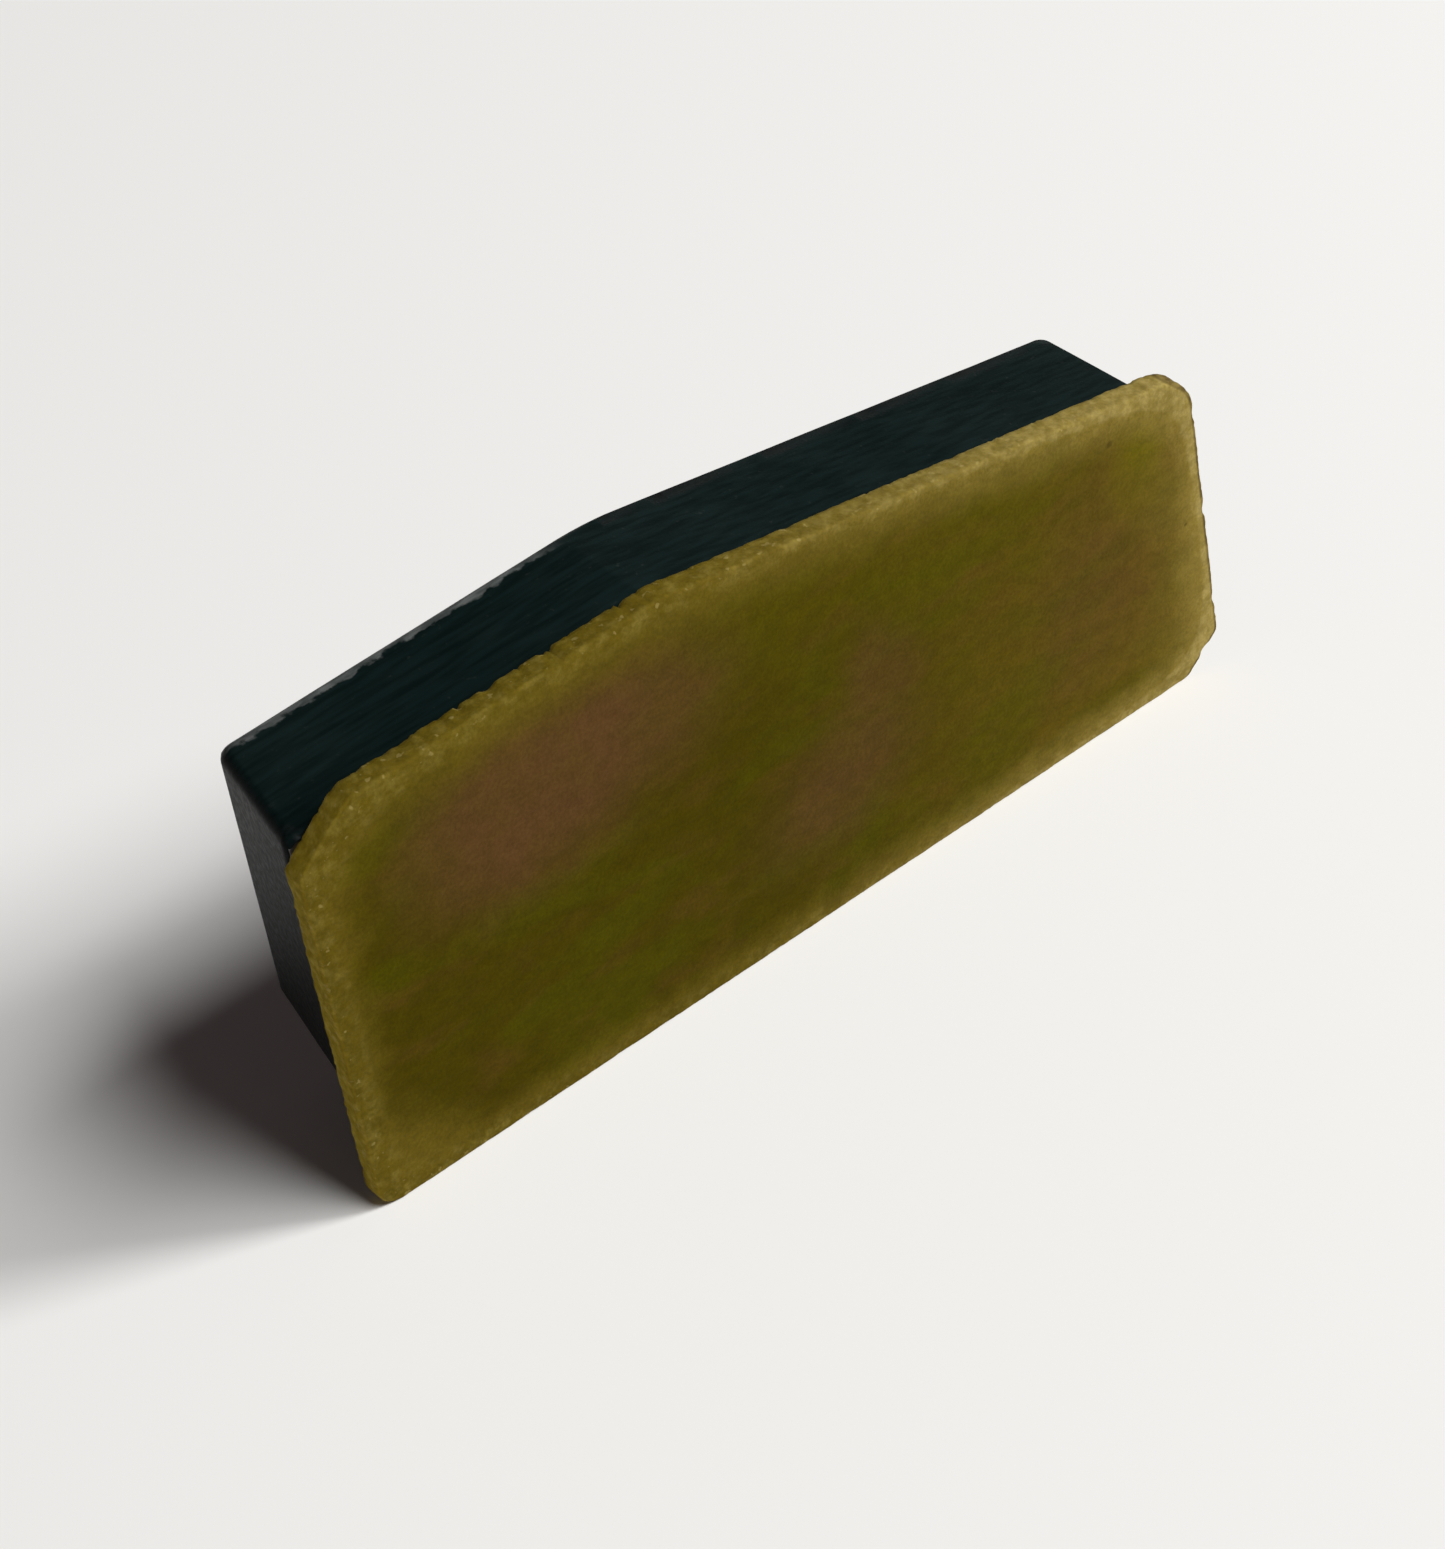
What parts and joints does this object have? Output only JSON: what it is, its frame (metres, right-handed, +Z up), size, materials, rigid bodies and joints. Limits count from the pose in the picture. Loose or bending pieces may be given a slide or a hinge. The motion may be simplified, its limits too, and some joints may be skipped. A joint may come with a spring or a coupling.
{
  "type": "domino tile",
  "caption": "Plain domino tile: a translucent amber face plate with a ridged top edge and clipped corners, bonded to a smaller matte black block; it stands on its long edge.",
  "frame": {"origin": "on the surface the tile stands on, under the middle of its length and depth", "axes": "+X along the tile's length, +Z up across its width, +Y from the face plate to the back of the block"},
  "size_m": [0.05, 0.0086, 0.0223],
  "materials": {
    "face_plate": "hand-finished translucent resin, olive and amber, satin, with a paler sawn rim",
    "adhesive": "cured brown adhesive",
    "block": "matte black, faint tool marks, edges slightly polished"
  },
  "bodies": {
    "root": {"face_plate": "face_plate", "bond_film": "adhesive", "base_block": "block"}
  },
  "joints": []
}
